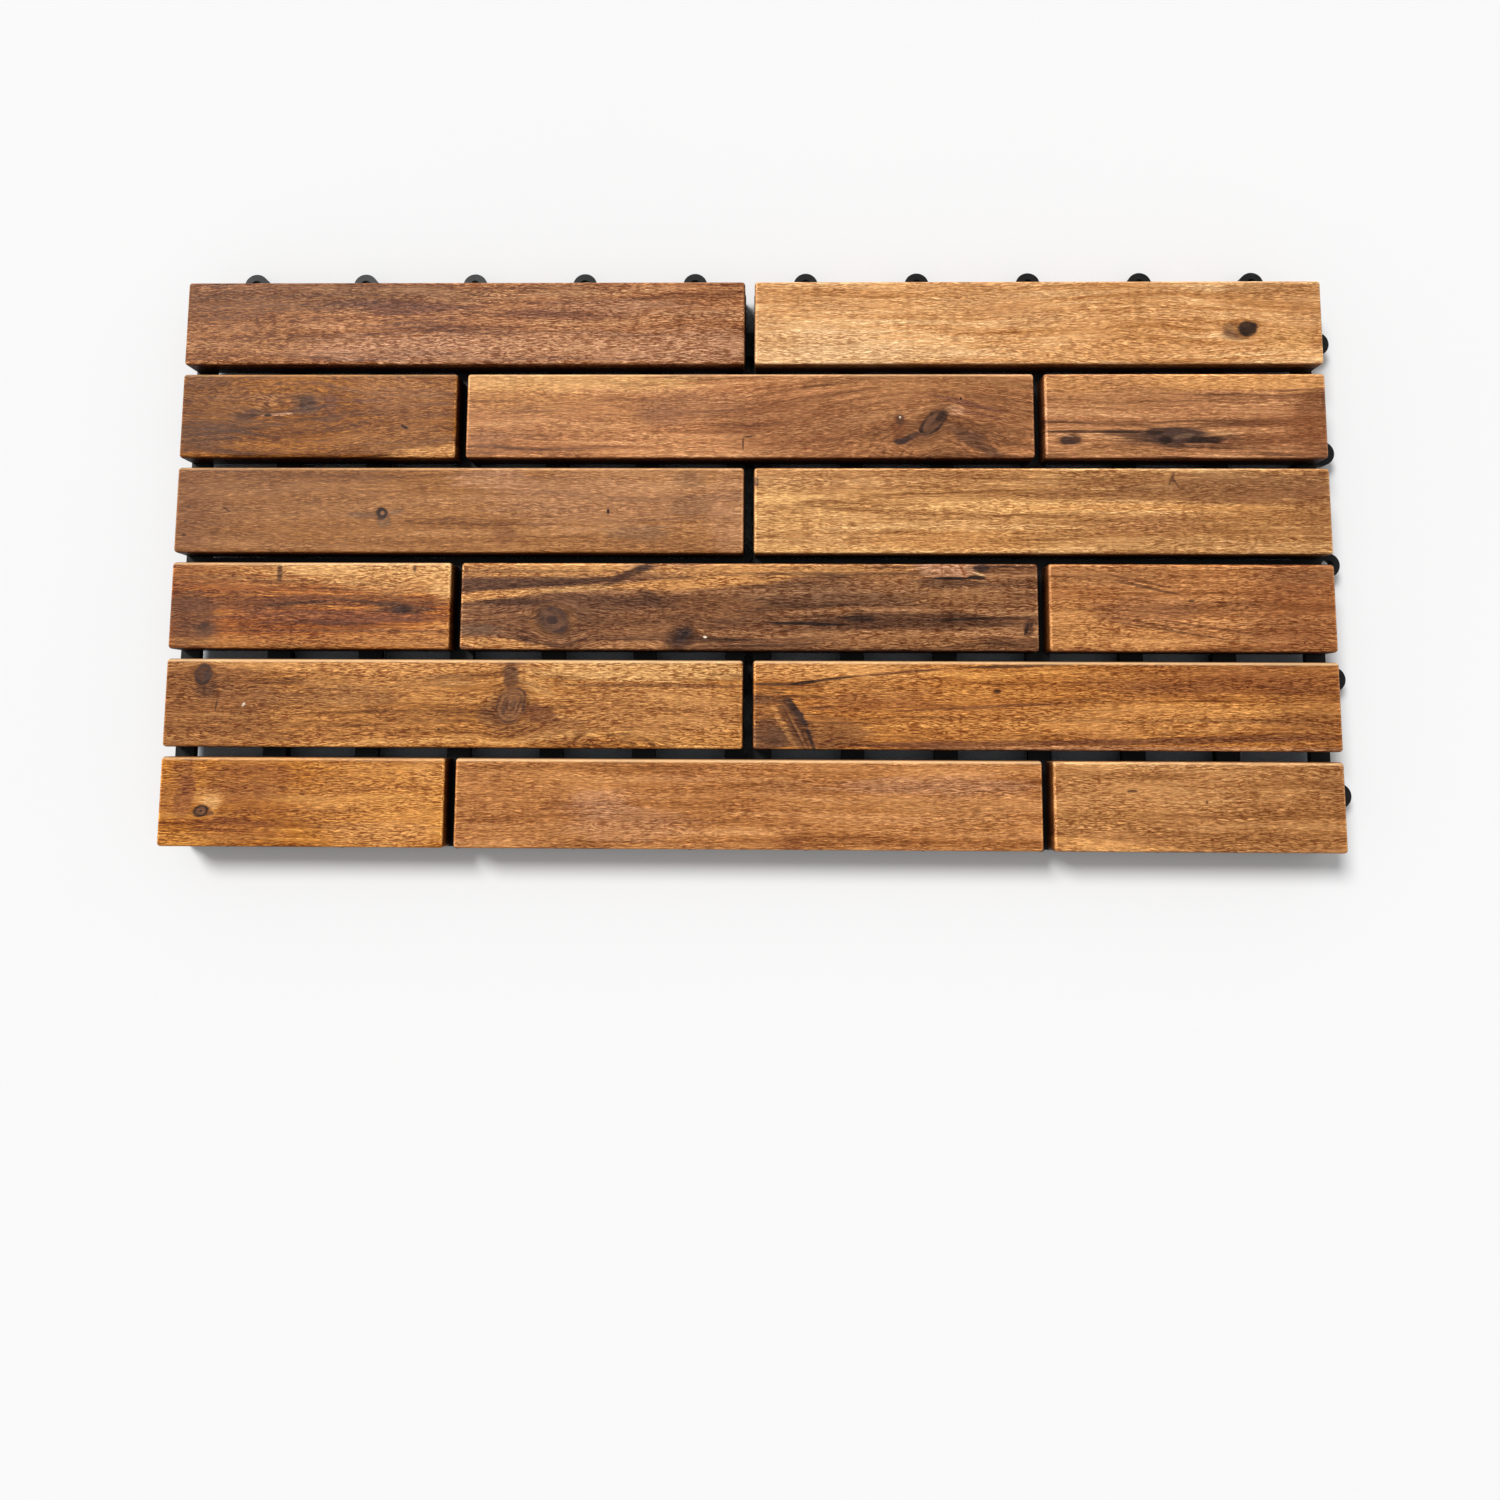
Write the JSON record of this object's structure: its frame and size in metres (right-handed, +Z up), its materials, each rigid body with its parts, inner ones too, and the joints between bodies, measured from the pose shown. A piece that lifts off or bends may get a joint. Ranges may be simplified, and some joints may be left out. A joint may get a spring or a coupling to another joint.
{
  "type": "interlocking deck tile",
  "caption": "Rectangular interlocking deck tile: oiled hardwood slats in a brick pattern, screwed from below to square plastic bases with pegs, pins and loops at the edges.",
  "frame": {"origin": "middle of the whole outline, pins and loops included, on the ground under the pegs", "axes": "+X along the slats, from the pin edge towards the loop edge; +Y from the front row towards the back row; +Z up"},
  "size_m": [0.609, 0.3092, 0.024],
  "materials": {
    "oiled_wood_light": "oiled, satin",
    "oiled_wood_golden": "oiled, satin",
    "oiled_wood_brown": "oiled, satin",
    "oiled_wood_red": "oiled, satin",
    "base_plastic": "moulded, matte",
    "screw_steel": "plain"
  },
  "bodies": {
    "root": {"slat_row1_left": "oiled_wood_golden", "slat_row1_middle": "oiled_wood_red", "slat_row1_right": "oiled_wood_light", "slat_row2_left": "oiled_wood_golden", "slat_row2_right": "oiled_wood_red", "slat_row3_left": "oiled_wood_golden", "slat_row3_middle": "oiled_wood_brown", "slat_row3_right": "oiled_wood_red", "slat_row4_left": "oiled_wood_brown", "slat_row4_right": "oiled_wood_light", "slat_row5_left": "oiled_wood_brown", "slat_row5_middle": "oiled_wood_golden", "slat_row5_right": "oiled_wood_red", "slat_row6_left": "oiled_wood_brown", "slat_row6_right": "oiled_wood_light", "base_left": "base_plastic", "base_right": "base_plastic", "screws": "screw_steel"}
  },
  "joints": []
}
